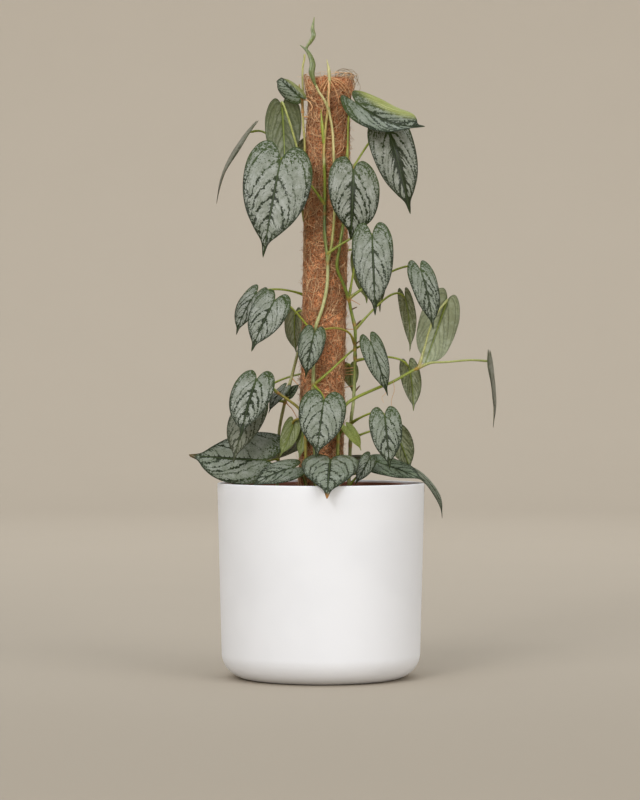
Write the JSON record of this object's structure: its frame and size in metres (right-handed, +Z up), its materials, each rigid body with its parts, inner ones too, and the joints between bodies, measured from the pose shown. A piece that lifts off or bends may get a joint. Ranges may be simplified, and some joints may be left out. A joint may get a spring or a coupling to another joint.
{
  "type": "potted silver leaf philodendron",
  "caption": "Climbing silver leaf philodendron with heart shaped, dark veined leaves on a leaning coir pole, standing in a white cover pot with a rounded foot.",
  "frame": {"origin": "centre of the cover pot's flat underside", "axes": "+Z up along the pot's axis, -Y towards the plant's front, +X to the right seen from the front"},
  "size_m": [0.3236, 0.2378, 0.6981],
  "materials": {
    "leaf": "silver grey blade with dark green veins, satin; plain grey green below",
    "new_leaf": "pale yellow green, smooth",
    "stem": "glossy green to pale straw, smooth",
    "pot": "plain white, satin",
    "grow_pot": "terracotta brown, matt",
    "coir": "matted red brown coconut fibre",
    "stake": "plain softwood",
    "soil": "dark, crumbly potting mix"
  },
  "bodies": {
    "root": {"leaf_01": "leaf", "leaf_02": "leaf", "leaf_03": "leaf", "leaf_04": "leaf", "leaf_05": "leaf", "leaf_06": "leaf", "leaf_07": "leaf", "leaf_08": "leaf", "leaf_09": "leaf", "leaf_10": "leaf", "leaf_11": "leaf", "leaf_12": "leaf", "leaf_13": "leaf", "leaf_14": "leaf", "leaf_15": "leaf", "leaf_16": "leaf", "leaf_17": "leaf", "leaf_18": "leaf", "leaf_19": "leaf", "leaf_20": "leaf", "leaf_21": "leaf", "leaf_22": "leaf", "leaf_23": "leaf", "leaf_24": "leaf", "leaf_25": "leaf", "leaf_26": "leaf", "leaf_27": "leaf", "leaf_28": "leaf", "leaf_29": "leaf", "leaf_30": "leaf", "leaf_31": "leaf", "leaf_32": "leaf", "leaf_33": "leaf", "leaf_34": "leaf", "leaf_35": "leaf", "leaf_36": "leaf", "leaf_37": "leaf", "leaf_38": "leaf", "leaf_39": "leaf", "leaf_40": "leaf", "leaf_41": "leaf", "leaf_42": "leaf", "leaf_43": "leaf", "leaf_44": "leaf", "leaf_45": "leaf", "leaf_46": "leaf", "leaf_47": "leaf", "rolled_leaf_tall": "new_leaf", "rolled_leaf_short": "new_leaf", "stem_front": "stem", "stem_right": "stem", "stem_branch": "stem", "stem_left": "stem", "stem_low": "stem", "stem_back": "stem", "cover_pot": "pot", "grow_pot": "grow_pot", "coir_sleeve": "coir", "stake": "stake", "soil": "soil"}
  },
  "joints": []
}
